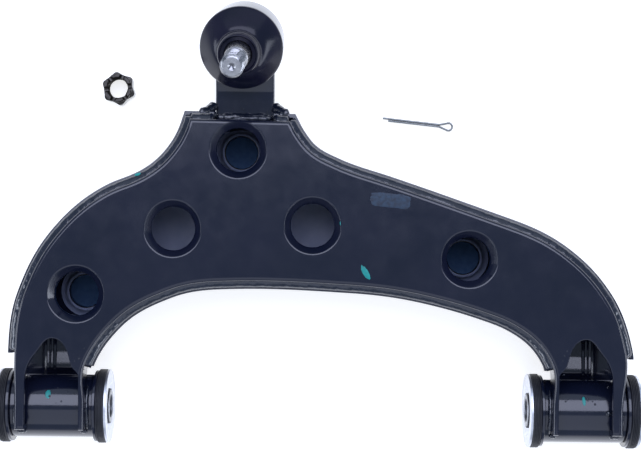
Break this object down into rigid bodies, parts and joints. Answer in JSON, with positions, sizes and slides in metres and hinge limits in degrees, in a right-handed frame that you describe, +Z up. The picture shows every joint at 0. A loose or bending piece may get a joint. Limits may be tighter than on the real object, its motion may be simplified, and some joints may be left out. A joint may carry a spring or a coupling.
{
  "type": "control arm",
  "caption": "Pressed-steel suspension control arm with two rubber pivot bushes, a booted ball joint on a raised neck, and its loose castle nut and split pin.",
  "frame": {"origin": "under the middle of the part's bounding box, on the surface it lies on", "axes": "+X along the pivot axis through both bushes, the part's longest way; +Y from the pivot axis to the ball joint; +Z up, the way the stud points"},
  "size_m": [0.3944, 0.2725, 0.1034],
  "materials": {
    "painted_steel": "semi-gloss black paint",
    "weld_bead": "painted weld bead",
    "bush_rubber": "matte moulded rubber",
    "boot_rubber": "glossy moulded rubber",
    "zinc_plate": "zinc plated, satin",
    "sleeve_steel": "machined steel tube",
    "stud_steel": "bright machined steel",
    "nut_steel": "black phosphated steel",
    "pin_steel": "dull galvanised wire",
    "nylon": "natural nylon"
  },
  "bodies": {
    "arm": {"lower_shell": "painted_steel", "upper_shell": "painted_steel", "seam_weld_outer_left": "weld_bead", "seam_weld_outer_right": "weld_bead", "seam_weld_inner": "weld_bead", "front_weld_left": "weld_bead", "front_weld_right": "weld_bead", "neck_weld": "weld_bead", "ear_weld_left_outer": "weld_bead", "ear_weld_left_inner": "weld_bead", "pivot_tube_left": "painted_steel", "bush_shell_left_minus": "painted_steel", "bush_rubber_left_minus": "bush_rubber", "bush_end_plate_left_minus": "zinc_plate", "bush_shell_left_plus": "painted_steel", "bush_rubber_left_plus": "bush_rubber", "bush_end_plate_left_plus": "zinc_plate", "ear_weld_right_outer": "weld_bead", "ear_weld_right_inner": "weld_bead", "pivot_tube_right": "painted_steel", "bush_shell_right_minus": "painted_steel", "bush_rubber_right_minus": "bush_rubber", "bush_end_plate_right_minus": "zinc_plate", "bush_shell_right_plus": "painted_steel", "bush_rubber_right_plus": "bush_rubber", "bush_end_plate_right_plus": "zinc_plate", "ball_joint_forging": "painted_steel", "cover_plate": "painted_steel", "boot_clamp_ring": "zinc_plate"},
    "left_sleeve": {"inner_sleeve_left": "sleeve_steel"},
    "right_sleeve": {"inner_sleeve_right": "sleeve_steel"},
    "ball_socket": {"bearing_seat": "nylon", "dust_boot": "boot_rubber"},
    "stud_collar": {"boot_collar": "boot_rubber"},
    "stud": {"ball_stud": "stud_steel"},
    "nut": {"castle_nut": "nut_steel"},
    "split_pin": {"cotter_pin": "pin_steel"}
  },
  "joints": [
    {"name": "left_bush_turn", "type": "hinge", "parent": "arm", "child": "left_sleeve", "pos_m": [-0.16275, -0.1133, 0.023], "axis": [1, 0, 0], "range_deg": [-30, 30], "stiffness_Nm_per_rad": 60},
    {"name": "right_bush_turn", "type": "hinge", "parent": "arm", "child": "right_sleeve", "pos_m": [0.16275, -0.1133, 0.023], "axis": [1, 0, 0], "range_deg": [-30, 30], "stiffness_Nm_per_rad": 60},
    {"name": "ball_azimuth", "type": "hinge", "parent": "arm", "child": "ball_socket", "pos_m": [-0.048, 0.1102, 0.039], "axis": [-0.0523, -0.3169, 0.947], "continuous": true},
    {"name": "ball_swing", "type": "hinge", "parent": "ball_socket", "child": "stud_collar", "pos_m": [-0.048, 0.1102, 0.039], "axis": [0.9985, 0, 0.0552], "range_deg": [-25, 25]},
    {"name": "stud_spin", "type": "hinge", "parent": "stud_collar", "child": "stud", "pos_m": [-0.048, 0.1102, 0.039], "axis": [-0.0523, -0.3169, 0.947], "continuous": true},
    {"name": "nut_lift", "type": "slide", "parent": "arm", "child": "nut", "axis": [0, 0, 1], "range_m": [0, 0.1]},
    {"name": "split_pin_lift", "type": "slide", "parent": "arm", "child": "split_pin", "axis": [0, 0, 1], "range_m": [0, 0.1]}
  ]
}
